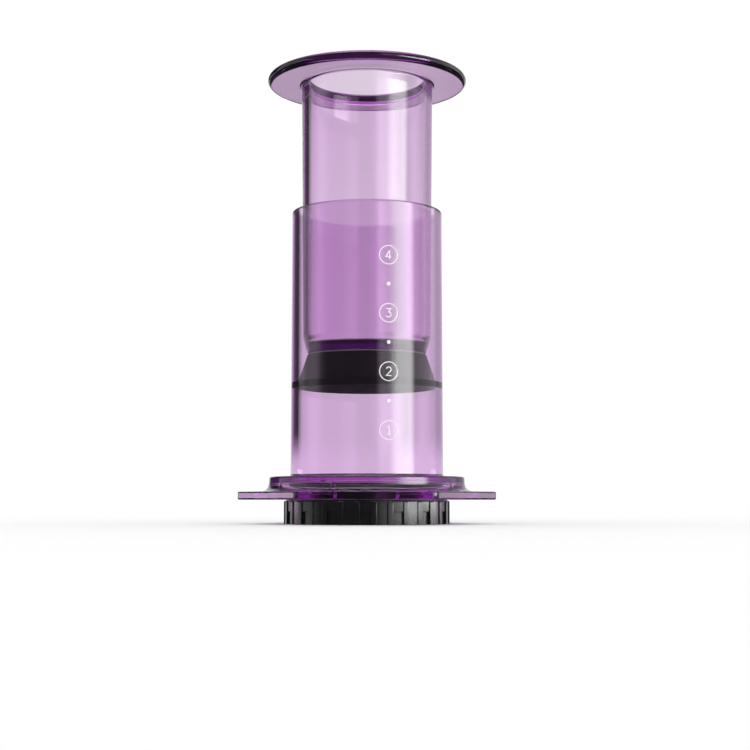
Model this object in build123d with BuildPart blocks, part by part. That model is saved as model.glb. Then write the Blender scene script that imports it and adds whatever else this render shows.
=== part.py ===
from build123d import *

import os
from math import ceil, hypot, sqrt

# A hand press for coffee: a clear chamber that stands on a mug, a clear plunger with a
# rubber seal, and a perforated cap that twists on below and holds a paper filter.
# Millimetres. The axis is Z, the cap's foot is at zero, and the front is towards -Y.

# Chamber barrel
bore_diameter = 58.7
barrel_wall = 3.15
barrel_height = 123.4
barrel_rim_bevel = 0.6
spigot_depth = 6.9
spigot_lip_bevel = 0.9

# Paper filter, a little smaller than the barrel
paper_inset = 0.5
paper_thickness = 0.2

# Filter cap
screen_recess = 0.8
screen_thickness = 2.2
cap_wall = 1.35
cap_foot_width = 2.9
grip_rib_depth = 1.0
grip_rib_bevel = 0.5
grip_rib_count = 32
grip_rib_angle = 4.25
first_rib_angle = 4.8
window_depth = 0.75
window_height = 5.3
window_every = 2
hole_diameter = 2.4
hole_pitch = 5.4
hole_sides = 6
tab_reach = 3.95
tab_thickness = 2.4
tab_angle = 35.0

# Chamber base: a hexagonal plate that rests on the mug, under a hollow collar
plate_thickness = 3.45
plate_margin = 3.567
plate_corner_round = 4.0
plate_edge_bevel = 0.6
collar_wall = 2.65
collar_roof = 2.8
collar_draft = 0.25
collar_edge_bevel = 0.9
collar_flare = 2.8
collar_flare_waist_share = 0.3

# Bayonet: three ledges in the collar that carry the cap's three tabs
bayonet_count = 3
notch_angle = 40.0
ledge_reach = 2.9
ledge_thickness = 2.2
stop_angle = 2.5
lock_stop_angle = 58.4

# Rubber seal
seal_height = 14.8
seal_skirt_inset = 0.45
seal_lip_height = 2.7
seal_lip_step = 1.2
seal_floor = 3.2
seal_wall = 2.72
seal_crown_bevel = 0.5

# Plunger
brew_gap = 54.0
plunger_floor = 3.6
shoulder_height = 6.8
shoulder_inset = 2.55
tube_wall = 2.5
flange_overhang = 15.15
flange_thickness = 4.0
flange_edge_bevel = 1.2
flange_root_bevel = 1.0
mouth_bevel = 0.7
knob_neck_height = 3.2
knob_undercut = 2.5
knob_wall = 3.0

# Fits
paper_gap = 0.1
cap_fit = 0.4
grip_gap = 0.4
bayonet_gap = 0.2
tab_tip_gap = 0.7
tab_headroom = 2.1
tube_gap = 1.5
seal_running_gap = 0.1
knob_running_gap = 0.08
knob_end_gap = 0.1
press_end_gap = 0.3
flange_end_gap = 1.9

# Depth that a cut runs past a face, and how near an edge lies to its named place
overrun = 1.0
selector_slack = 0.01

# Radii
bore_radius = bore_diameter / 2
barrel_radius = bore_radius + barrel_wall
cap_bore_radius = barrel_radius + cap_fit
cap_wall_radius = cap_bore_radius + cap_wall
cap_grip_radius = cap_wall_radius + grip_rib_depth
tab_radius = cap_wall_radius + tab_reach
channel_radius = tab_radius + tab_tip_gap
ledge_radius = channel_radius - ledge_reach
collar_top_radius = channel_radius + collar_wall
collar_foot_radius = collar_top_radius + collar_draft
plate_flat_radius = collar_foot_radius + collar_flare + plate_margin
tube_radius = bore_radius - tube_gap
tube_bore_radius = tube_radius - tube_wall
flange_radius = tube_radius + flange_overhang
shoulder_foot_radius = tube_radius - shoulder_inset
knob_socket_radius = shoulder_foot_radius - seal_wall
knob_radius = knob_socket_radius - knob_running_gap
neck_radius = knob_radius - knob_undercut
pocket_radius = neck_radius - knob_wall

# Heights
screen_top = screen_recess + screen_thickness
paper_top = screen_top + paper_thickness
spigot_end = paper_top + paper_gap
plate_bottom = spigot_end + spigot_depth
plate_top = plate_bottom + plate_thickness
ledge_top = plate_bottom + ledge_thickness
tab_bottom = ledge_top + bayonet_gap
cap_rim = tab_bottom + tab_thickness
grip_top = plate_bottom - grip_gap
channel_top = cap_rim + tab_headroom
collar_top = channel_top + collar_roof
barrel_top = plate_bottom + barrel_height
seal_bottom = paper_top + brew_gap
seal_top = seal_bottom + seal_height
seal_hollow_bottom = seal_bottom + seal_floor
plunger_bottom = seal_top + knob_end_gap
neck_bottom = plunger_bottom - knob_neck_height
knob_bottom = seal_hollow_bottom + knob_end_gap

# The plunger is as long as it takes to press the seal down to the paper
press_travel = brew_gap - press_end_gap
flange_bottom = barrel_top + flange_end_gap + press_travel
plunger_top = flange_bottom + flange_thickness


def ring_sector(inner_radius, outer_radius, middle_angle, span):
    """A flat piece of a ring, with its middle at an angle counted from the front."""
    start = middle_angle - span / 2 - 90
    with BuildSketch() as sector:
        with BuildLine():
            outer = CenterArc((0, 0), outer_radius, start, span)
            inner = CenterArc((0, 0), inner_radius, start, span)
            Line(outer @ 0, inner @ 0)
            Line(outer @ 1, inner @ 1)
        make_face()
    return sector.sketch


def circles(part, radius, height):
    """The part's circular edges of one radius at one height."""
    found = part.edges().filter_by(GeomType.CIRCLE)
    found = found.filter_by(lambda edge: abs(edge.radius - radius) < selector_slack)
    return found.filter_by(lambda edge: abs(edge.arc_center.Z - height) < selector_slack)


# Paper filter, a plain disc on the cap's screen
with BuildPart() as paper_filter:
    with BuildSketch(Plane.XY.offset(screen_top)):
        Circle(barrel_radius - paper_inset)
    extrude(amount=paper_thickness)

# Filter cap: a ribbed cup with a perforated floor and three tabs below its rim
with BuildPart() as filter_cap:
    with BuildSketch(Plane.XZ):
        with BuildLine():
            Polyline(
                (0, screen_recess),
                (cap_wall_radius - cap_foot_width, screen_recess),
                (cap_wall_radius - cap_foot_width, 0),
                (cap_wall_radius, 0),
                (cap_wall_radius, cap_rim),
                (cap_bore_radius, cap_rim),
                (cap_bore_radius, screen_top),
                (0, screen_top),
                close=True,
            )
        make_face()
    revolve(axis=Axis.Z)

    # Grip ribs
    with BuildSketch():
        with PolarLocations(0, grip_rib_count):
            add(ring_sector(cap_bore_radius, cap_grip_radius, first_rib_angle, grip_rib_angle))
        Circle(cap_bore_radius, mode=Mode.SUBTRACT)
    extrude(amount=grip_top)
    with BuildSketch(Plane.XZ):
        with BuildLine():
            Polyline(
                (cap_grip_radius - grip_rib_bevel, grip_top),
                (cap_grip_radius + overrun, grip_top),
                (cap_grip_radius + overrun, grip_top - grip_rib_bevel - overrun),
                close=True,
            )
        make_face()
    revolve(axis=Axis.Z, mode=Mode.SUBTRACT)

    # Windows at the foot of every second groove
    groove_pitch = 360 / grip_rib_count
    window_angle = groove_pitch - grip_rib_angle
    with BuildSketch():
        with PolarLocations(0, grip_rib_count // window_every):
            add(
                ring_sector(
                    cap_wall_radius - window_depth,
                    cap_wall_radius + overrun,
                    first_rib_angle - groove_pitch / 2,
                    window_angle,
                )
            )
    extrude(amount=window_height, mode=Mode.SUBTRACT)

    # Bayonet tabs
    with BuildSketch(Plane.XY.offset(tab_bottom)):
        with PolarLocations(0, bayonet_count):
            add(ring_sector(cap_bore_radius, tab_radius, 0, tab_angle))
    extrude(amount=tab_thickness)

    # Screen holes, in a hexagonal grid as wide as the bore above them
    row_pitch = hole_pitch * sqrt(3) / 2
    screen_reach = bore_radius - hole_diameter / 2
    screen_rings = ceil(screen_reach / row_pitch)
    places = [
        ((column + (row % 2) / 2) * hole_pitch, row * row_pitch)
        for row in range(-screen_rings, screen_rings + 1)
        for column in range(-screen_rings, screen_rings + 1)
    ]
    with BuildSketch(Plane.XY.offset(screen_recess)):
        with Locations([place for place in places if hypot(*place) < screen_reach]):
            RegularPolygon(hole_diameter / 2, hole_sides)
    extrude(amount=screen_thickness, mode=Mode.SUBTRACT)

# Chamber: a barrel on a hollow collar, with a hexagonal plate and a spigot below
with BuildPart() as chamber:
    # Plate, corners to the left and right
    with BuildSketch(Plane.XY.offset(plate_bottom)):
        RegularPolygon(plate_flat_radius, 6, major_radius=False)
        fillet(vertices(), plate_corner_round)
    extrude(amount=plate_thickness)
    chamfer(edges().group_by(Axis.Z)[0] + edges().group_by(Axis.Z)[-1], plate_edge_bevel)

    # Barrel and collar, which flares into the plate
    flare_waist = collar_flare * collar_flare_waist_share
    with BuildSketch(Plane.XZ):
        with BuildLine():
            Polyline(
                (0, plate_bottom),
                (collar_foot_radius + collar_flare, plate_bottom),
                (collar_foot_radius + collar_flare, plate_top),
                (collar_foot_radius + flare_waist, plate_top + flare_waist),
                (collar_foot_radius, plate_top + collar_flare),
                (collar_top_radius, collar_top),
                (barrel_radius, collar_top),
                (barrel_radius, barrel_top),
                (0, barrel_top),
                close=True,
            )
        make_face()
    revolve(axis=Axis.Z)
    chamfer(circles(chamber, collar_top_radius, collar_top), collar_edge_bevel)

    # Channel inside the collar, which leaves the spigot standing in its middle
    with BuildSketch(Plane.XY.offset(channel_top)):
        Circle(channel_radius)
    extrude(amount=-(channel_top - plate_bottom), mode=Mode.SUBTRACT)
    with BuildSketch(Plane.XY.offset(spigot_end)):
        Circle(barrel_radius)
    extrude(amount=channel_top - spigot_end)
    chamfer(circles(chamber, barrel_radius, spigot_end), spigot_lip_bevel)

    # Bore
    with BuildSketch(Plane.XY.offset(spigot_end)):
        Circle(bore_radius)
    extrude(amount=barrel_top - spigot_end, mode=Mode.SUBTRACT)
    chamfer(circles(chamber, bore_radius, barrel_top), barrel_rim_bevel)
    chamfer(circles(chamber, barrel_radius, barrel_top), barrel_rim_bevel)

    # Bayonet ledges between the notches
    bayonet_pitch = 360 / bayonet_count
    wall_middle_radius = channel_radius + collar_wall / 2
    with BuildSketch(Plane.XY.offset(plate_bottom)):
        with PolarLocations(0, bayonet_count):
            add(
                ring_sector(
                    ledge_radius,
                    wall_middle_radius,
                    bayonet_pitch / 2,
                    bayonet_pitch - notch_angle,
                )
            )
    extrude(amount=ledge_thickness)

    # Stops on the ledges, where a tab enters and where it ends its turn
    with BuildSketch(Plane.XY.offset(ledge_top)):
        with PolarLocations(0, bayonet_count):
            for stop_middle in (
                lock_stop_angle + stop_angle / 2,
                -(notch_angle + stop_angle) / 2,
            ):
                add(ring_sector(ledge_radius, wall_middle_radius, stop_middle, stop_angle))
    extrude(amount=channel_top - ledge_top)

# Rubber seal
with BuildPart() as plunger_seal:
    with BuildSketch(Plane.XZ):
        with BuildLine():
            Polyline(
                (0, seal_bottom),
                (bore_radius - seal_running_gap, seal_bottom),
                (bore_radius - seal_running_gap, seal_bottom + seal_lip_height),
                (bore_radius - seal_skirt_inset, seal_bottom + seal_lip_height + seal_lip_step),
                (shoulder_foot_radius, seal_top),
                (neck_radius + knob_running_gap, seal_top),
                (neck_radius + knob_running_gap, neck_bottom + knob_end_gap),
                (knob_socket_radius, neck_bottom + knob_end_gap),
                (knob_socket_radius, seal_hollow_bottom),
                (0, seal_hollow_bottom),
                close=True,
            )
        make_face()
    revolve(axis=Axis.Z)
    chamfer(circles(plunger_seal, shoulder_foot_radius, seal_top), seal_crown_bevel)

# Plunger
with BuildPart() as plunger:
    with BuildSketch(Plane.XZ):
        with BuildLine():
            Polyline(
                (0, plunger_bottom + plunger_floor),
                (tube_bore_radius, plunger_bottom + plunger_floor),
                (tube_bore_radius, plunger_top),
                (flange_radius, plunger_top),
                (flange_radius, flange_bottom),
                (tube_radius, flange_bottom),
                (tube_radius, plunger_bottom + shoulder_height),
                (shoulder_foot_radius, plunger_bottom),
                (neck_radius, plunger_bottom),
                (neck_radius, neck_bottom),
                (knob_radius, neck_bottom),
                (knob_radius, knob_bottom),
                (pocket_radius, knob_bottom),
                (pocket_radius, plunger_bottom),
                (0, plunger_bottom),
                close=True,
            )
        make_face()
    revolve(axis=Axis.Z)
    chamfer(circles(plunger, flange_radius, plunger_top), flange_edge_bevel)
    chamfer(circles(plunger, flange_radius, flange_bottom), flange_edge_bevel)
    chamfer(circles(plunger, tube_radius, flange_bottom), flange_root_bevel)
    chamfer(circles(plunger, tube_bore_radius, plunger_top), mouth_bevel)

os.makedirs("parts", exist_ok=True)

chamber.part.label = "chamber"
export_step(chamber.part, "parts/chamber.step")
plunger.part.label = "plunger"
export_step(plunger.part, "parts/plunger.step")
plunger_seal.part.label = "plunger_seal"
export_step(plunger_seal.part, "parts/plunger_seal.step")
filter_cap.part.label = "filter_cap"
export_step(filter_cap.part, "parts/filter_cap.step")
paper_filter.part.label = "paper_filter"
export_step(paper_filter.part, "parts/paper_filter.step")
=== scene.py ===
from math import atan2, cos, degrees, hypot, pi, radians, sin, sqrt, tan

import bmesh
import bpy
from mathutils import Matrix, Vector


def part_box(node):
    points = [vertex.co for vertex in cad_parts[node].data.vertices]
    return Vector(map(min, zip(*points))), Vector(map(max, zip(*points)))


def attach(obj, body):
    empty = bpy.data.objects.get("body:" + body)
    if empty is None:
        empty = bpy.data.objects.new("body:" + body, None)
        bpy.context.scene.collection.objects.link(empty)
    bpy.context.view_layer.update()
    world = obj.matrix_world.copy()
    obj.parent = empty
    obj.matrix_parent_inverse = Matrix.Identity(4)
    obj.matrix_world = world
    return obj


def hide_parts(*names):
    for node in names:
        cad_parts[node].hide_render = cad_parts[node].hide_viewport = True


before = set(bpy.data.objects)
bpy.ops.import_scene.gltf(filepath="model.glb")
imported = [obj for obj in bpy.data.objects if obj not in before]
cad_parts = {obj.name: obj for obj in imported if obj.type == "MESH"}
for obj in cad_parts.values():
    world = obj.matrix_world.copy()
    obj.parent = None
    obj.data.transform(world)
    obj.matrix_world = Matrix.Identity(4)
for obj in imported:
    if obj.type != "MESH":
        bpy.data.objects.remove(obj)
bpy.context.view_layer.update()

# A coffee press of clear purple plastic: a chamber on a hexagonal plate, a plunger with a
# rubber seal, and a black cap that holds the filter paper. Metres and degrees, the axis is Z.
mm = 0.001

# Corners of the parts in model.glb
chamber_low, chamber_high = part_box("chamber")
plunger_low, plunger_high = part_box("plunger")
seal_low, seal_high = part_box("plunger_seal")
cap_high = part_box("filter_cap")[1]
paper_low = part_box("paper_filter")[0]

# Roundness of turned pieces, the shortest edge that is kept, and how closely two lengths
# have to agree to count as the same
turning_steps = 180
cap_turning_steps = 480
weld = 0.002 * mm
slack = 0.01 * mm

# Chamber
bore_radius = 29.35 * mm
barrel_foot_radius = 32.5 * mm
barrel_rim_radius = 32.2 * mm
barrel_rim_round = 0.7 * mm
barrel_foot_fillet = 1.0 * mm
spigot_depth = 6.9 * mm
spigot_lip_round = 0.9 * mm
spigot_root_fillet = 0.5 * mm
bore_foot_round = 0.3 * mm
plate_thickness = 3.45 * mm
plate_flat_radius = chamber_high.y
plate_corner_round = 4.0 * mm
plate_edge_round = 0.7 * mm
collar_top_radius = 41.55 * mm
collar_foot_radius = 41.8 * mm
collar_height = 6.25 * mm
collar_roof = 2.8 * mm
collar_edge_round = 0.9 * mm
collar_fillet = 3.6 * mm
channel_radius = 38.9 * mm
ledge_radius = 36.0 * mm
ledge_thickness = 2.2 * mm
bayonet_edge_round = 0.2 * mm
spigot_bottom = chamber_low.z
plate_bottom = spigot_bottom + spigot_depth
plate_top = plate_bottom + plate_thickness
collar_top = plate_top + collar_height
channel_top = collar_top - collar_roof
ledge_top = plate_bottom + ledge_thickness
barrel_top = chamber_high.z

# Bayonet, in degrees: three times a notch, a ledge and the stops at the ends of the cap's turn
bayonet_count = 3
bayonet_pitch = 360 / bayonet_count
notch_angle = 40
stop_angle = 360 / turning_steps
stop_middles = (notch_angle / 2 + bayonet_pitch / 3 - stop_angle / 2, -(notch_angle + stop_angle) / 2)

# Plunger
seal_gap = 0.1 * mm
tube_bore_radius = 25.35 * mm
tube_top_radius = 28.35 * mm
tube_foot_radius = 27.3 * mm
plunger_floor = 3.6 * mm
floor_fillet = 2.0 * mm
mouth_round = 1.5 * mm
shoulder_height = 6.8 * mm
shoulder_round = 1.0 * mm
shoulder_foot_radius = 25.3 * mm
shoulder_foot_round = 0.9 * mm
flange_radius = plunger_high.x
flange_thickness = 4.0 * mm
flange_round = 1.95 * mm
flange_fillet = 1.2 * mm
neck_radius = 20.0 * mm
knob_radius = 22.5 * mm
knob_neck_height = 3.2 * mm
knob_top_round = 0.2 * mm
knob_foot_round = 0.3 * mm
pocket_radius = 17.0 * mm
plunger_top = plunger_high.z
flange_bottom = plunger_top - flange_thickness
plunger_bottom = seal_high.z + seal_gap
knob_bottom = plunger_low.z

# Seal. Its lip is pressed a little into the bore, so that it shows through the wall.
lip_radius = bore_radius + 0.03 * mm
lip_height = 2.7 * mm
lip_round = 0.3 * mm
lip_step = 1.2 * mm
skirt_radius = 28.9 * mm
skirt_round = 0.2 * mm
crown_round = 0.9 * mm
socket_radius = 22.58 * mm
socket_neck_radius = 20.08 * mm
socket_round = 0.2 * mm
seal_floor = 3.2 * mm

# Cap
cap_bore_radius = 32.9 * mm
cap_bore_fillet = 0.3 * mm
cap_wall_radius = 34.25 * mm
cap_grip_radius = 35.25 * mm
groove_radius = 34.75 * mm
cap_foot_inside = 31.35 * mm
cap_edge_round = 0.15 * mm
window_radius = 34.0 * mm
window_top = 5.3 * mm
grip_top = 9.8 * mm
rib_count = 32
rib_bevel = 0.5 * mm
rib_angle = 4.25
first_rib = 4.8
tab_radius = cap_high.y
tab_bottom = 12.6 * mm
tab_half_angle = 17.5
screen_recess = 0.8 * mm
screen_edge_radius = 29.8 * mm
screen_margin = 1.2 * mm
hole_radius = 1.15 * mm
hole_pitch = 5.4 * mm
hole_bevel = 0.12 * mm
hole_sides = 20

# Level marks, printed on the barrel to the right of the front
mark_angle = 16.3
first_level = 38.4 * mm
level_pitch = 24.02 * mm
ring_radius = 3.85 * mm
ring_line = 0.36 * mm
ring_sides = 64
digit_height = 3.75 * mm
digit_line = 0.42 * mm
arc_steps = 14
sharpest_mitre = 0.5
dot_radius = 0.8 * mm
dot_sides = 28
ink_thickness = 0.03 * mm
ink_sunk = ink_thickness / 3
print_cut_pitch = 0.4 * mm
print_cuts_each_side = 10


def front_angle(point):
    """Degrees round the axis from the front, -Y, towards +X."""
    return degrees(atan2(point.x, -point.y))


def off_middle(angle, middle):
    """How far one angle lies from another, in degrees, at most 180."""
    return abs((angle - middle + 180) % 360 - 180)


def radius_of(point):
    """How far a point lies from the axis."""
    return hypot(point.x, point.y)


def same_length(first, second):
    return abs(first - second) < slack


def face_angle(face):
    return front_angle(face.calc_center_median())


def face_radius(face):
    return radius_of(face.calc_center_median())


def face_height(face):
    return face.calc_center_median().z


def in_sectors(face, middle, span):
    """Whether a face lies in a sector that repeats for each tab of the bayonet."""
    angle = face_angle(face)
    off = min(off_middle(angle, middle + bayonet_pitch * turn) for turn in range(bayonet_count))
    return off < span / 2


def merge_doubles(mesh):
    bmesh.ops.remove_doubles(mesh, verts=mesh.verts, dist=weld)


def round_corner(mesh, corner, round_radius, segments):
    """Rounds a corner of a profile, where two of its edges meet."""
    ends = [edge.other_vert(corner).co - corner.co for edge in corner.link_edges]
    tangent = round_radius / tan(ends[0].angle(ends[1]) / 2)
    bmesh.ops.bevel(
        mesh,
        geom=[corner],
        offset=tangent,
        offset_type="OFFSET",
        segments=segments,
        profile=0.5,
        affect="VERTICES",
        material=-1,
    )


def turned(outline, steps=turning_steps, closed=True, segments=6):
    """A mesh turned about the axis from (radius, height, round) corners."""
    mesh = bmesh.new()
    corners = [mesh.verts.new((radius, 0, height)) for radius, height, _ in outline]
    for first, second in zip(corners, corners[1:]):
        mesh.edges.new((first, second))
    if closed:
        mesh.edges.new((corners[-1], corners[0]))
    for corner, (_, _, round_radius) in zip(corners, outline):
        if round_radius:
            round_corner(mesh, corner, round_radius, segments)
    merge_doubles(mesh)
    bmesh.ops.spin(
        mesh,
        geom=mesh.verts[:] + mesh.edges[:],
        cent=(0, 0, 0),
        axis=(0, 0, 1),
        angle=2 * pi,
        steps=steps,
        use_merge=True,
    )
    merge_doubles(mesh)
    return mesh


def move_out(parts, share):
    """Brings the points among some parts of a mesh to a share of their distance from the axis."""
    for part in parts:
        if isinstance(part, bmesh.types.BMVert):
            part.co.x, part.co.y = part.co.x * share, part.co.y * share


def push_to_radius(mesh, faces, radius_from, radius_to):
    """Extrudes a stretch of round wall towards or away from the axis."""
    made = bmesh.ops.extrude_face_region(mesh, geom=faces)["geom"]
    move_out(made, radius_to / radius_from)
    bmesh.ops.delete(mesh, geom=faces, context="FACES")


def soften_edges(mesh, width, within=lambda edge: True, sharper_than=40):
    """Breaks the sharp edges of a mesh with a small round."""
    bmesh.ops.recalc_face_normals(mesh, faces=mesh.faces)
    sharp = [
        edge
        for edge in mesh.edges
        if edge.is_manifold and degrees(edge.calc_face_angle()) > sharper_than and within(edge)
    ]
    bmesh.ops.bevel(
        mesh,
        geom=sharp,
        offset=width,
        offset_type="OFFSET",
        segments=2,
        profile=0.5,
        affect="EDGES",
        clamp_overlap=True,
        material=-1,
    )


def ring(mesh, radius, place, sides):
    """The edges of a level circle about a place."""
    verts = bmesh.ops.create_circle(
        mesh,
        cap_ends=False,
        segments=sides,
        radius=radius,
        matrix=Matrix.Translation(place),
    )["verts"]
    return list(dict.fromkeys(edge for vert in verts for edge in vert.link_edges))


def piece(name, mesh, material, body, slot, *replaced):
    """Makes a mesh into a piece of the press, on its body. The slot is not used."""
    bmesh.ops.recalc_face_normals(mesh, faces=mesh.faces)
    if mesh.calc_volume(signed=True) < 0:
        bmesh.ops.reverse_faces(mesh, faces=mesh.faces)
    data = bpy.data.meshes.new(name)
    mesh.to_mesh(data)
    mesh.free()
    data.shade_smooth()
    data.set_sharp_from_angle(angle=radians(35))
    data.materials.append(material)
    made = bpy.data.objects.new(name, data)
    bpy.context.scene.collection.objects.link(made)
    even = made.modifiers.new("even_shading", "WEIGHTED_NORMAL")
    even.keep_sharp = True
    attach(made, body)
    if replaced:
        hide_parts(*replaced)
    return made


# Materials


def new_material(name):
    material = bpy.data.materials.new(name)
    material.use_nodes = True
    nodes = material.node_tree.nodes
    return material, nodes, material.node_tree.links, nodes["Principled BSDF"]


def speckle(nodes, links, per_metre, detail=2.0):
    """Noise in the piece's own coordinates, with so many grains to a metre."""
    place = nodes.new("ShaderNodeTexCoord")
    noise = nodes.new("ShaderNodeTexNoise")
    noise.inputs["Scale"].default_value = per_metre
    noise.inputs["Detail"].default_value = detail
    links.new(place.outputs["Object"], noise.inputs["Vector"])
    return noise.outputs["Fac"]


def spread(nodes, links, source, from_low, from_high, to_low=0.0, to_high=1.0):
    """A clamped straight-line map of a value."""
    spread_map = nodes.new("ShaderNodeMapRange")
    spread_map.inputs["From Min"].default_value = from_low
    spread_map.inputs["From Max"].default_value = from_high
    spread_map.inputs["To Min"].default_value = to_low
    spread_map.inputs["To Max"].default_value = to_high
    links.new(source, spread_map.inputs["Value"])
    return spread_map.outputs["Result"]


def between(nodes, links, speckles, low, high):
    """Spreads the usual values of a noise over a range."""
    return spread(nodes, links, speckles, 0.3, 0.7, low, high)


def mixed(nodes, links, factor, first, second):
    """Goes from one colour to another. A colour is red, green and blue, or comes from a node."""
    mix = nodes.new("ShaderNodeMix")
    mix.data_type = "RGBA"
    links.new(factor, mix.inputs["Factor"])
    for socket, colour in (("A", first), ("B", second)):
        if isinstance(colour, tuple):
            mix.inputs[socket].default_value = (*colour, 1)
        else:
            links.new(colour, mix.inputs[socket])
    return mix.outputs["Result"]


def relief(nodes, links, shader, source, depth):
    """Gives a surface the fine unevenness of a noise."""
    bump = nodes.new("ShaderNodeBump")
    bump.inputs["Distance"].default_value = depth
    links.new(source, bump.inputs["Height"])
    links.new(bump.outputs["Normal"], shader.inputs["Normal"])


def clear_purple_plastic():
    """Clear and polished, a little dull where it is handled, and purple by its thickness."""
    material, nodes, links, shader = new_material("clear_purple_plastic")
    shader.inputs["Transmission Weight"].default_value = 1.0
    shader.inputs["IOR"].default_value = 1.5
    shader.inputs["Base Color"].default_value = (1, 1, 1, 1)
    handling = speckle(nodes, links, 90)
    links.new(between(nodes, links, handling, 0.0, 0.02), shader.inputs["Roughness"])
    # How fast red, green and blue light fade in the plastic, per metre
    red, green, blue = 47.0, 110.0, 38.0
    absorption = nodes.new("ShaderNodeVolumeAbsorption")
    absorption.inputs["Density"].default_value = green
    absorption.inputs["Color"].default_value = (1 - red / green, 0, 1 - blue / green, 1)
    links.new(absorption.outputs["Volume"], nodes["Material Output"].inputs["Volume"])
    return material


def crown_edge(nodes, links):
    """How much of a point is on the rounded edge of the seal's crown, where a pale highlight is
    painted.
    """
    place = nodes.new("ShaderNodeTexCoord").outputs["Object"]
    level = nodes.new("ShaderNodeVectorMath")
    level.operation = "MULTIPLY"
    links.new(place, level.inputs[0])
    level.inputs[1].default_value = (1, 1, 0)
    from_axis = nodes.new("ShaderNodeVectorMath")
    from_axis.operation = "LENGTH"
    links.new(level.outputs["Vector"], from_axis.inputs[0])
    split = nodes.new("ShaderNodeSeparateXYZ")
    links.new(place, split.inputs["Vector"])
    outer_from, outer_full = shoulder_foot_radius - 0.7 * mm, shoulder_foot_radius - 0.5 * mm
    high_from, high_full = seal_high.z - 0.6 * mm, seal_high.z - 0.4 * mm
    both = nodes.new("ShaderNodeMath")
    both.operation = "MULTIPLY"
    links.new(spread(nodes, links, from_axis.outputs["Value"], outer_from, outer_full), both.inputs[0])
    links.new(spread(nodes, links, split.outputs["Z"], high_from, high_full), both.inputs[1])
    return both.outputs["Value"]


def seal_rubber():
    """Black rubber, clouded a little, with a pale highlight painted along the edge of its crown."""
    material, nodes, links, shader = new_material("seal_rubber")
    grain = speckle(nodes, links, 1500)
    bloom = speckle(nodes, links, 120)
    black = mixed(nodes, links, bloom, (0.011, 0.01, 0.011), (0.02, 0.018, 0.02))
    # Painted highlight: the crown's rounded edge is painted pale grey in place of a glint of light
    painted_crown_highlight = mixed(nodes, links, crown_edge(nodes, links), black, (0.36, 0.34, 0.36))
    links.new(painted_crown_highlight, shader.inputs["Base Color"])
    links.new(between(nodes, links, bloom, 0.66, 0.78), shader.inputs["Roughness"])
    shader.inputs["Specular IOR Level"].default_value = 0.15
    relief(nodes, links, shader, grain, 0.02 * mm)
    return material


def cap_plastic():
    """Black plastic with a fine moulded grain and a satin shine."""
    material, nodes, links, shader = new_material("cap_plastic")
    grain = speckle(nodes, links, 2500)
    wear = speckle(nodes, links, 150)
    colour = mixed(nodes, links, wear, (0.008, 0.008, 0.008), (0.014, 0.014, 0.014))
    links.new(colour, shader.inputs["Base Color"])
    links.new(between(nodes, links, wear, 0.15, 0.22), shader.inputs["Roughness"])
    relief(nodes, links, shader, grain, 0.01 * mm)
    return material


def filter_paper():
    """Thin uncoated paper with its fibres."""
    material, nodes, links, shader = new_material("filter_paper")
    fibre = speckle(nodes, links, 1800, detail=6.0)
    colour = mixed(nodes, links, fibre, (0.86, 0.83, 0.77), (0.95, 0.93, 0.89))
    links.new(colour, shader.inputs["Base Color"])
    shader.inputs["Roughness"].default_value = 0.9
    relief(nodes, links, shader, fibre, 0.05 * mm)
    return material


def level_ink():
    """White printing ink, a little uneven."""
    material, nodes, links, shader = new_material("level_ink")
    print_grain = speckle(nodes, links, 2500)
    colour = mixed(nodes, links, print_grain, (0.9, 0.9, 0.9), (0.98, 0.98, 0.98))
    links.new(colour, shader.inputs["Base Color"])
    shader.inputs["Roughness"].default_value = 0.5
    relief(nodes, links, shader, print_grain, 0.005 * mm)
    return material


# Chamber

# Degrees between two corners of the plate, and the degrees of turning on each side of a
# corner whose points go into its round
corner_pitch = 60
corner_turn = 14


def plate_outline(angle):
    """Where the hexagonal plate's edge lies for a turning angle, and which way it faces."""
    half_pitch = corner_pitch / 2
    corner = round(angle / corner_pitch) * corner_pitch
    turn = angle - corner
    corner_centre = (plate_flat_radius - plate_corner_round) / cos(radians(half_pitch))
    facing = radians(corner + max(-half_pitch, min(half_pitch, half_pitch * turn / corner_turn)))
    normal = Vector((cos(facing), sin(facing), 0))
    centre = Vector((cos(radians(corner)), sin(radians(corner)), 0)) * corner_centre
    point = centre + normal * plate_corner_round
    if abs(turn) > corner_turn:
        share = (abs(turn) - corner_turn) / (half_pitch - corner_turn)
        point = point.lerp(normal * plate_flat_radius, share)
    return point, normal


def shape_plate(mesh):
    """Pulls the turned plate's round edge out to the hexagon."""
    for vert in mesh.verts:
        from_edge = plate_flat_radius - radius_of(vert.co)
        if from_edge < plate_edge_round + slack and vert.co.z < plate_top + weld:
            point, normal = plate_outline(degrees(atan2(vert.co.y, vert.co.x)))
            moved = point - normal * from_edge
            vert.co.x, vert.co.y = moved.x, moved.y


def at_stop(face):
    return any(in_sectors(face, middle, stop_angle) for middle in stop_middles)


def on_ledge(face):
    between_notches = in_sectors(face, bayonet_pitch / 2, bayonet_pitch - notch_angle)
    return between_notches and face_height(face) < ledge_top


def stop_roofs(mesh):
    """Faces of the channel's roof over the stops."""
    return [
        face
        for face in mesh.faces
        if same_length(face_height(face), channel_top)
        and ledge_radius < face_radius(face) < channel_radius
        and at_stop(face)
    ]


def add_bayonet(mesh):
    """Ledges that carry the cap's tabs, and the stops that end their turn."""
    wall = [
        face
        for face in mesh.faces
        if same_length(face_radius(face), channel_radius)
        and plate_bottom < face_height(face) < channel_top
    ]
    reach = [
        face for face in wall if on_ledge(face) or (face_height(face) > ledge_top and at_stop(face))
    ]
    bmesh.ops.delete(mesh, geom=stop_roofs(mesh), context="FACES_ONLY")
    push_to_radius(mesh, reach, channel_radius, ledge_radius)
    merge_doubles(mesh)
    bmesh.ops.delete(mesh, geom=stop_roofs(mesh), context="FACES")


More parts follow.
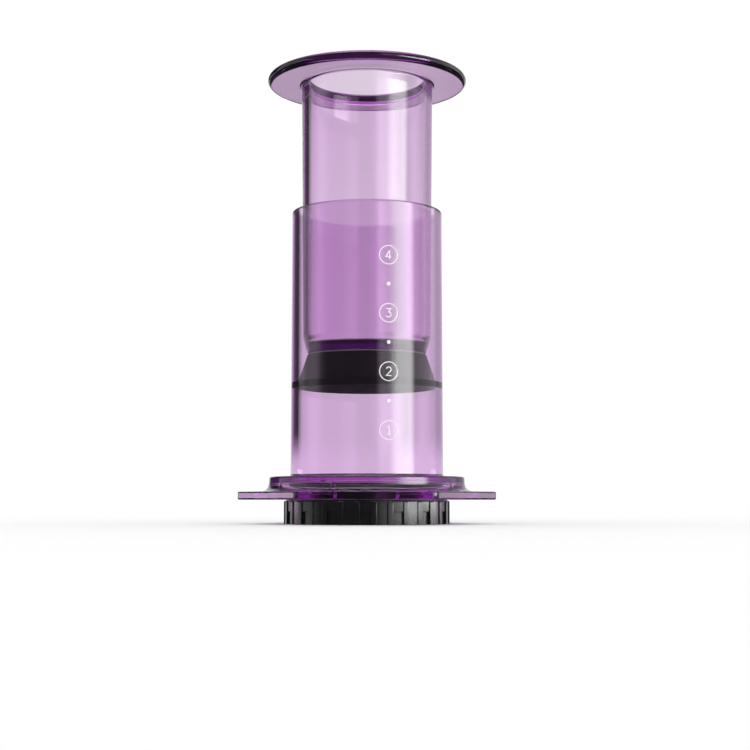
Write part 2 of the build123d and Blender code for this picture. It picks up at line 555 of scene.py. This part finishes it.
def make_chamber(material):
    mesh = turned(
        [
            (bore_radius, barrel_top, barrel_rim_round),
            (barrel_rim_radius, barrel_top, barrel_rim_round),
            (barrel_foot_radius, collar_top, barrel_foot_fillet),
            (collar_top_radius, collar_top, collar_edge_round),
            (collar_foot_radius, plate_top, collar_fillet),
            (plate_flat_radius, plate_top, plate_edge_round),
            (plate_flat_radius, plate_bottom, plate_edge_round),
            (channel_radius, plate_bottom, 0),
            (channel_radius, ledge_top, 0),
            (channel_radius, channel_top, 0),
            (ledge_radius, channel_top, 0),
            (barrel_foot_radius, channel_top, spigot_root_fillet),
            (barrel_foot_radius, spigot_bottom, spigot_lip_round),
            (bore_radius, spigot_bottom, bore_foot_round),
        ]
    )
    shape_plate(mesh)
    add_bayonet(mesh)
    soften_edges(mesh, bayonet_edge_round)
    return piece("clear_chamber", mesh, material, "chamber", "clear_plastic", "chamber")


# Plunger and seal


def make_plunger(material):
    mesh = turned(
        [
            (0, plunger_bottom + plunger_floor, 0),
            (tube_bore_radius, plunger_bottom + plunger_floor, floor_fillet),
            (tube_bore_radius, plunger_top, mouth_round),
            (flange_radius, plunger_top, flange_round),
            (flange_radius, flange_bottom, flange_round),
            (tube_top_radius, flange_bottom, flange_fillet),
            (tube_foot_radius, plunger_bottom + shoulder_height, shoulder_round),
            (shoulder_foot_radius, plunger_bottom, shoulder_foot_round),
            (neck_radius, plunger_bottom, 0),
            (neck_radius, plunger_bottom - knob_neck_height, 0),
            (knob_radius, plunger_bottom - knob_neck_height, knob_top_round),
            (knob_radius, knob_bottom, knob_foot_round),
            (pocket_radius, knob_bottom, knob_foot_round),
            (pocket_radius, plunger_bottom, 0),
            (0, plunger_bottom, 0),
        ],
        closed=False,
    )
    return piece("clear_plunger", mesh, material, "plunger", "clear_plastic", "plunger")


def make_seal(material):
    bottom = seal_low.z
    skirt_foot = bottom + lip_height + lip_step
    socket_floor = bottom + seal_floor
    socket_top = plunger_bottom - knob_neck_height + seal_gap
    mesh = turned(
        [
            (0, bottom, 0),
            (lip_radius, bottom, lip_round),
            (lip_radius, bottom + lip_height, lip_round),
            (skirt_radius, skirt_foot, skirt_round),
            (shoulder_foot_radius, seal_high.z, crown_round),
            (socket_neck_radius, seal_high.z, socket_round),
            (socket_neck_radius, socket_top, socket_round),
            (socket_radius, socket_top, 0),
            (socket_radius, socket_floor, 0),
            (0, socket_floor, 0),
        ],
        closed=False,
        segments=4,
    )
    return piece("rubber_seal", mesh, material, "seal", "seal_rubber", "plunger_seal")


# Cap


def screen_places():
    """Centres of the screen's holes, in a hexagonal grid."""
    row_pitch = hole_pitch * sqrt(3) / 2
    reach = bore_radius - screen_margin
    rows = int(reach / row_pitch) + 1
    for row in range(-rows, rows + 1):
        for column in range(-rows, rows + 1):
            x = (column + (row % 2) / 2) * hole_pitch
            y = row * row_pitch
            if hypot(x, y) < reach:
                yield x, y


def open_edges(mesh, height):
    """The open edges of a mesh at a height."""
    return [edge for edge in mesh.edges if edge.is_boundary and same_length(edge.verts[0].co.z, height)]


def add_screen(mesh, top, bottom):
    """Fills the cap's floor with its perforated screen."""
    top_edges = open_edges(mesh, top)
    bottom_edges = open_edges(mesh, bottom)
    levels = [
        (hole_radius + hole_bevel, top),
        (hole_radius, top - hole_bevel),
        (hole_radius, bottom + hole_bevel),
        (hole_radius + hole_bevel, bottom),
    ]
    for x, y in screen_places():
        rings = [ring(mesh, radius, (x, y, height), hole_sides) for radius, height in levels]
        top_edges += rings[0]
        bottom_edges += rings[-1]
        for upper, lower in zip(rings, rings[1:]):
            bmesh.ops.bridge_loops(mesh, edges=upper + lower)
    bmesh.ops.triangle_fill(mesh, use_beauty=True, edges=top_edges, normal=(0, 0, 1))
    bmesh.ops.triangle_fill(mesh, use_beauty=True, edges=bottom_edges, normal=(0, 0, -1))


def on_grip(face):
    """Whether a face is of the wall that the ribs stand on."""
    return same_length(face_radius(face), groove_radius)


def on_rib(face):
    """Whether a face lies where one of the ribs is."""
    ribs_round = (face_angle(face) - first_rib) * rib_count
    return off_middle(ribs_round, 0) < rib_angle * rib_count / 2


def at_window(face):
    """Whether a face lies in one of the grooves that have a window, which is every second one."""
    from_window = face_angle(face) - first_rib + 180 / rib_count
    return off_middle(from_window * rib_count / 2, 0) < 90 and not on_rib(face)


def open_windows(mesh):
    """Cuts the notches at the foot of every second groove."""
    gone = [
        face
        for face in mesh.faces
        if at_window(face)
        and (
            (on_grip(face) and face_height(face) < window_top)
            or (same_length(face_height(face), 0) and face_radius(face) > window_radius)
        )
    ]
    bmesh.ops.delete(mesh, geom=gone, context="FACES")
    foot = [
        edge
        for edge in open_edges(mesh, 0)
        if all(same_length(radius_of(vert.co), window_radius) for vert in edge.verts)
    ]
    back = bmesh.ops.extrude_edge_only(mesh, edges=foot)["geom"]
    for part in back:
        if isinstance(part, bmesh.types.BMVert):
            part.co.z = window_top
    back_top = [part for part in back if isinstance(part, bmesh.types.BMEdge)]
    ceiling = bmesh.ops.extrude_edge_only(mesh, edges=back_top)["geom"]
    move_out(ceiling, groove_radius / window_radius)
    merge_doubles(mesh)
    sides = [
        edge
        for edge in mesh.edges
        if edge.is_boundary
        and edge.verts[0].co.z < window_top + slack
        and radius_of(edge.verts[0].co) > window_radius - slack
    ]
    bmesh.ops.holes_fill(mesh, edges=sides, sides=4)


def raise_ribs(mesh):
    """Pushes the ribs out of the grip's wall and slopes their tops."""
    ribs = [face for face in mesh.faces if on_grip(face) and on_rib(face)]
    push_to_radius(mesh, ribs, groove_radius, cap_grip_radius)
    tops = [
        vert
        for vert in mesh.verts
        if radius_of(vert.co) > cap_grip_radius - slack and vert.co.z > grip_top - slack
    ]
    move_out(tops, (cap_grip_radius - rib_bevel) / cap_grip_radius)


def add_tabs(mesh):
    """Pushes the bayonet's tabs out of the cap's wall."""
    tabs = [
        face
        for face in mesh.faces
        if face_height(face) > tab_bottom
        and same_length(face_radius(face), cap_wall_radius)
        and in_sectors(face, 0, 2 * tab_half_angle)
    ]
    push_to_radius(mesh, tabs, cap_wall_radius, tab_radius)


def make_cap(material):
    screen_top = paper_low.z
    mesh = turned(
        [
            (screen_edge_radius, screen_top, 0),
            (cap_bore_radius, screen_top, cap_bore_fillet),
            (cap_bore_radius, cap_high.z, 0),
            (cap_wall_radius, cap_high.z, 0),
            (cap_wall_radius, tab_bottom, 0),
            (cap_wall_radius, grip_top, 0),
            (groove_radius, grip_top, 0),
            (groove_radius, grip_top - rib_bevel, 0),
            (groove_radius, window_top, 0),
            (groove_radius, 0, 0),
            (window_radius, 0, 0),
            (cap_foot_inside, 0, 0),
            (cap_foot_inside, screen_recess, 0),
            (screen_edge_radius, screen_recess, 0),
        ],
        steps=cap_turning_steps,
        closed=False,
        segments=3,
    )
    open_windows(mesh)
    raise_ribs(mesh)
    add_tabs(mesh)
    add_screen(mesh, screen_top, screen_recess)
    merge_doubles(mesh)
    soften_edges(
        mesh,
        cap_edge_round,
        within=lambda edge: radius_of(edge.verts[0].co) > screen_edge_radius + weld,
    )
    return piece("ribbed_cap", mesh, material, "cap", "cap_plastic", "filter_cap")


# Level marks


def arc(x, y, radius, first, last):
    """Points of an arc between two angles in degrees."""
    angles = [radians(first + (last - first) * step / arc_steps) for step in range(arc_steps + 1)]
    return [(x + radius * cos(angle), y + radius * sin(angle)) for angle in angles]


# Pen strokes of the digits, in shares of a digit's height from its middle
digit_strokes = {
    1: [[(-0.2, 0.3), (0.03, 0.47), (0.03, -0.44)], [(-0.19, -0.46), (0.25, -0.46)]],
    2: [arc(0, 0.2, 0.27, 165, -32) + [(-0.28, -0.46), (0.3, -0.46)]],
    3: [[(-0.26, 0.46), (0.24, 0.46), (-0.03, 0.1)] + arc(-0.02, -0.18, 0.28, 88, -145)],
    4: [[(0.12, 0.48), (-0.32, -0.22), (0.33, -0.22)], [(0.12, 0.48), (0.12, -0.5)]],
}


def pen_stroke(mesh, points, width):
    """A flat band of even width along a line of points, mitred at its corners."""
    points = [Vector(point) for point in points]
    pairs = []
    for before, here, after in zip(points[:1] + points, points, points[1:] + points[-1:]):
        way_in = (here - before).normalized()
        way_out = (after - here).normalized()
        along = (way_in + way_out).normalized()
        straight = way_out if way_in.length == 0 else way_in
        mitre = max(sharpest_mitre, along.dot(straight))
        across = Vector((-along.y, along.x)) * width / 2 / mitre
        pairs.append([mesh.verts.new((*(here + across * side), 0)) for side in (1, -1)])
    for (left, right), (next_left, next_right) in zip(pairs, pairs[1:]):
        mesh.faces.new((left, right, next_right, next_left))


def digit(mesh, number, height):
    """A level's number, flat, in the middle of its ring."""
    for points in digit_strokes[number]:
        placed = [(x * digit_height, y * digit_height + height) for x, y in points]
        pen_stroke(mesh, placed, digit_line)


def number_ring(mesh, height):
    """The thin line round a number, flat."""
    edges = []
    for radius in (ring_radius - ring_line / 2, ring_radius + ring_line / 2):
        edges += ring(mesh, radius, (0, height, 0), ring_sides)
    bmesh.ops.bridge_loops(mesh, edges=edges)


def dot(mesh, height):
    bmesh.ops.create_circle(
        mesh,
        cap_ends=True,
        segments=dot_sides,
        radius=dot_radius,
        matrix=Matrix.Translation((0, height, 0)),
    )


def barrel_radius(height):
    """The barrel's outside radius at a height: it narrows a little towards the rim."""
    share = (height - collar_top) / (barrel_top - collar_top)
    return barrel_foot_radius + (barrel_rim_radius - barrel_foot_radius) * share


def wrap_on_barrel(mesh):
    """Gives a flat print its thickness and lays it round the barrel."""
    for cut in range(-print_cuts_each_side, print_cuts_each_side + 1):
        bmesh.ops.bisect_plane(
            mesh,
            geom=mesh.verts[:] + mesh.edges[:] + mesh.faces[:],
            dist=weld / 2,
            plane_co=(cut * print_cut_pitch, 0, 0),
            plane_no=(1, 0, 0),
        )
    raised = bmesh.ops.extrude_face_region(mesh, geom=mesh.faces[:])["geom"]
    for part in raised:
        if isinstance(part, bmesh.types.BMVert):
            part.co.z = ink_thickness
    for vert in mesh.verts:
        height = vert.co.y
        wall = barrel_radius(height)
        radius = wall + vert.co.z - ink_sunk
        angle = radians(mark_angle) + vert.co.x / wall
        vert.co = (radius * sin(angle), -radius * cos(angle), height)


def make_level_marks(material):
    """Numbers in rings, with a dot half way between each two."""
    mesh = bmesh.new()
    for number in digit_strokes:
        height = first_level + (number - 1) * level_pitch
        number_ring(mesh, height)
        digit(mesh, number, height)
        if number < len(digit_strokes):
            dot(mesh, height + level_pitch / 2)
    wrap_on_barrel(mesh)
    return piece("level_marks", mesh, material, "chamber", "level_ink")


# Studio

floor_half_size = 12
near_floor_radius = 0.11
near_floor_lift = 0.01 * mm
near_floor_sides = 64


def floor_paint():
    material, nodes, links, shader = new_material("studio_floor")
    shader.inputs["Base Color"].default_value = (0.97, 0.97, 0.97, 1)
    shader.inputs["Roughness"].default_value = 0.8
    shader.inputs["Specular IOR Level"].default_value = 0.0
    return material


def make_floor(name, mesh, material):
    data = bpy.data.meshes.new(name)
    mesh.to_mesh(data)
    mesh.free()
    data.materials.append(material)
    made = bpy.data.objects.new(name, data)
    bpy.context.scene.collection.objects.link(made)
    made.visible_glossy = False
    # The press stands on its cap, so the floor goes down with the cap when that drops
    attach(made, "filter")
    return made


def make_floors():
    """The floor, and the part of it round the press that also shows through the clear plastic."""
    paint = floor_paint()
    mesh = bmesh.new()
    bmesh.ops.create_grid(mesh, x_segments=1, y_segments=1, size=floor_half_size)
    floor = make_floor("floor", mesh, paint)
    floor.visible_transmission = False
    mesh = bmesh.new()
    bmesh.ops.create_circle(
        mesh,
        cap_ends=True,
        segments=near_floor_sides,
        radius=near_floor_radius,
        matrix=Matrix.Translation((0, 0, near_floor_lift)),
    )
    near_floor = make_floor("near_floor", mesh, paint)
    near_floor.visible_camera = False
    near_floor.visible_diffuse = False
    near_floor.visible_shadow = False


def soft_box(name, azimuth, distance, width, bottom, top, brightness, colour=(1, 1, 1)):
    """An upright lamp that faces the press, azimuth in degrees to the right of the front."""
    light = bpy.data.lights.new(name, "AREA")
    light.color = colour
    light.shape = "RECTANGLE"
    light.size = width
    light.size_y = top - bottom
    light.energy = brightness * pi * light.size * light.size_y
    made = bpy.data.objects.new(name, light)
    bpy.context.scene.collection.objects.link(made)
    turn = radians(azimuth)
    made.location = (distance * sin(turn), -distance * cos(turn), (bottom + top) / 2)
    facing = Vector((-made.location.x, -made.location.y, 0))
    made.rotation_euler = facing.to_track_quat("-Z", "Y").to_euler()
    made.visible_camera = False
    made.visible_diffuse = False
    made.visible_transmission = False
    return made


def feather(light, left_to, right_from, top_from):
    """Fades a lamp towards its sides and its top, full between the given shares of its size."""
    light.use_nodes = True
    nodes, links = light.node_tree.nodes, light.node_tree.links
    place = nodes.new("ShaderNodeNewGeometry")
    split = nodes.new("ShaderNodeSeparateXYZ")
    links.new(place.outputs["Parametric"], split.inputs["Vector"])
    strength = nodes["Emission"].inputs["Strength"]
    for across, dark, bright in (("X", 0, left_to), ("X", 1, right_from), ("Y", 1, top_from)):
        side = nodes.new("ShaderNodeMapRange")
        side.interpolation_type = "SMOOTHSTEP"
        links.new(split.outputs[across], side.inputs["Value"])
        side.inputs["From Min"].default_value = dark
        side.inputs["From Max"].default_value = bright
        fade = nodes.new("ShaderNodeMath")
        fade.operation = "MULTIPLY"
        links.new(side.outputs["Result"], fade.inputs[0])
        fade.inputs[1].default_value = 1.0
        links.new(fade.outputs["Value"], strength)
        strength = fade.inputs[1]


def make_lamps(cap):
    """A tall lamp at the front right, a low one for the cap alone, and two low ones behind."""
    strip = soft_box("strip_light", 54, distance=1.0, width=0.89, bottom=0.01, top=0.56, brightness=9.2)
    feather(strip.data, left_to=0.42, right_from=0.74, top_from=0.72)
    low = {"bottom": 0.003, "top": 0.03}
    side = soft_box("cap_side_light", 82, distance=0.3, width=0.29, brightness=9.0, **low)
    lit = bpy.data.collections.new("lit_by_cap_side_light")
    lit.objects.link(cap)
    side.light_linking.receiver_collection = lit
    glint = {"distance": 0.33, "width": 0.09, "colour": (1.0, 0.62, 1.0), **low}
    soft_box("left_glint", -115, brightness=2.6, **glint)
    soft_box("right_glint", 115, brightness=1.8, **glint)


# Brightness round the studio, by degrees to the right of straight behind the press: the dark
# room in front, a bright left side, a dark gap, the backdrop with its lighter line, and the
# bright right side with one more panel
surroundings = [
    (-180, 0.07),
    (-118, 0.1),
    (-108, 0.2),
    (-98, 0.85),
    (-86, 0.85),
    (-76, 0.55),
    (-66, 0.8),
    (-58, 0.75),
    (-54, 0.05),
    (-25.5, 0.06),
    (-20.5, 0.65),
    (-12, 0.9),
    (0.8, 0.88),
    (1.3, 1.08),
    (2.3, 1.08),
    (3.5, 0.64),
    (5.0, 0.6),
    (6.2, 0.75),
    (7.6, 0.86),
    (12, 0.9),
    (20, 0.55),
    (48, 0.58),
    (57, 1.2),
    (95, 1.1),
    (130, 0.5),
    (146, 1.3),
    (158, 1.3),
    (166, 0.1),
    (180, 0.08),
]
# What the camera sees behind the press
backdrop_brightness = 1.03
# What shows straight through the plastic beyond the near floor, and at the sides of the room
clear_brightness = 0.97
clear_beyond = 62
# The least brightness of the table behind the press, and how far round it reaches
table_brightness = 0.9
table_half_angle = 100
# Elevations between which the room changes, and its brightness past them
ground_edge, ground_brightness = (-7, -2), 0.08
table_edge = (1.2, 2.2)
roof_edge, roof_brightness = (24, 46), 0.4
zenith_edge, zenith_brightness = (66, 74), 2.5


def grey(brightness):
    return (brightness, brightness, brightness)


def above(nodes, links, split, elevations):
    """How far a direction is past the lower and towards the upper of two elevations."""
    low, high = (sin(radians(elevation)) for elevation in elevations)
    return spread(nodes, links, split.outputs["Z"], low, high)


def by_azimuth(nodes, links, split, stops):
    """Brightness by the compass direction of a ray, from (degrees, brightness) stops."""
    azimuth = nodes.new("ShaderNodeMath")
    azimuth.operation = "ARCTAN2"
    links.new(split.outputs["X"], azimuth.inputs[0])
    links.new(split.outputs["Y"], azimuth.inputs[1])
    ramp = nodes.new("ShaderNodeValToRGB")
    links.new(spread(nodes, links, azimuth.outputs["Value"], -pi, pi), ramp.inputs["Fac"])
    marks = ramp.color_ramp.elements
    while len(marks) < len(stops):
        marks.new(1)
    for mark, (angle, brightness) in zip(marks, stops):
        mark.position = (angle + 180) / 360
        mark.color = (*grey(brightness), 1)
    return ramp.outputs["Color"]


def room_round_plastic(nodes, links, split, mirrored):
    """The room that shows in the plastic, clearer for rays that no surface has mirrored."""
    clear = [
        (angle, brightness if abs(angle) < clear_beyond else clear_brightness)
        for angle, brightness in surroundings
    ]
    table = [
        (angle, max(brightness, table_brightness) if abs(angle) < table_half_angle else brightness)
        for angle, brightness in surroundings
    ]
    clear_sides = by_azimuth(nodes, links, split, clear)
    sides = mixed(nodes, links, mirrored, clear_sides, by_azimuth(nodes, links, split, surroundings))
    low = mixed(nodes, links, mirrored, grey(clear_brightness), by_azimuth(nodes, links, split, table))
    ground = mixed(nodes, links, mirrored, grey(clear_brightness), grey(ground_brightness))
    room = mixed(nodes, links, above(nodes, links, split, table_edge), low, sides)
    room = mixed(nodes, links, above(nodes, links, split, ground_edge), ground, room)
    room = mixed(nodes, links, above(nodes, links, split, roof_edge), room, grey(roof_brightness))
    return mixed(nodes, links, above(nodes, links, split, zenith_edge), room, grey(zenith_brightness))


def make_world():
    """A white backdrop and floor light, and for the plastic a studio with dark and bright sides."""
    world = bpy.data.worlds.new("studio")
    bpy.context.scene.world = world
    world.use_nodes = True
    nodes, links = world.node_tree.nodes, world.node_tree.links
    path = nodes.new("ShaderNodeLightPath")
    direction = nodes.new("ShaderNodeTexCoord")
    split = nodes.new("ShaderNodeSeparateXYZ")
    links.new(direction.outputs["Generated"], split.inputs["Vector"])
    room = room_round_plastic(nodes, links, split, path.outputs["Glossy Depth"])
    plain = nodes.new("ShaderNodeMath")
    plain.operation = "MAXIMUM"
    links.new(path.outputs["Is Camera Ray"], plain.inputs[0])
    links.new(path.outputs["Is Diffuse Ray"], plain.inputs[1])
    seen = mixed(nodes, links, plain.outputs["Value"], room, grey(backdrop_brightness))
    links.new(seen, nodes["Background"].inputs["Color"])


# Camera, at the photograph's viewing angle
camera_place = (3.47 * mm, -638.75 * mm, 10.2 * mm)
camera_tilt = 94.767
camera_lens = 71.79
sensor_width = 36
nearest_seen = 0.05


def make_camera():
    camera = bpy.data.objects.new("camera", bpy.data.cameras.new("camera"))
    bpy.context.scene.collection.objects.link(camera)
    camera.data.sensor_width = sensor_width
    camera.data.lens = camera_lens
    camera.data.clip_start = nearest_seen
    camera.location = camera_place
    camera.rotation_euler = (radians(camera_tilt), 0, 0)
    bpy.context.scene.camera = camera


def set_rendering():
    """Enough bounces for light to pass all the clear walls, and colours as they are."""
    studio = bpy.context.scene
    studio.view_settings.view_transform = "Standard"
    studio.cycles.max_bounces = 32
    studio.cycles.transmission_bounces = 32
    studio.cycles.glossy_bounces = 12
    studio.cycles.diffuse_bounces = 4


plastic = clear_purple_plastic()
make_chamber(plastic)
make_level_marks(level_ink())
make_plunger(plastic)
make_seal(seal_rubber())
cap = make_cap(cap_plastic())
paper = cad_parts["paper_filter"]
paper.data.materials.clear()
paper.data.materials.append(filter_paper())

make_floors()
make_lamps(cap)
make_world()
make_camera()
set_rendering()
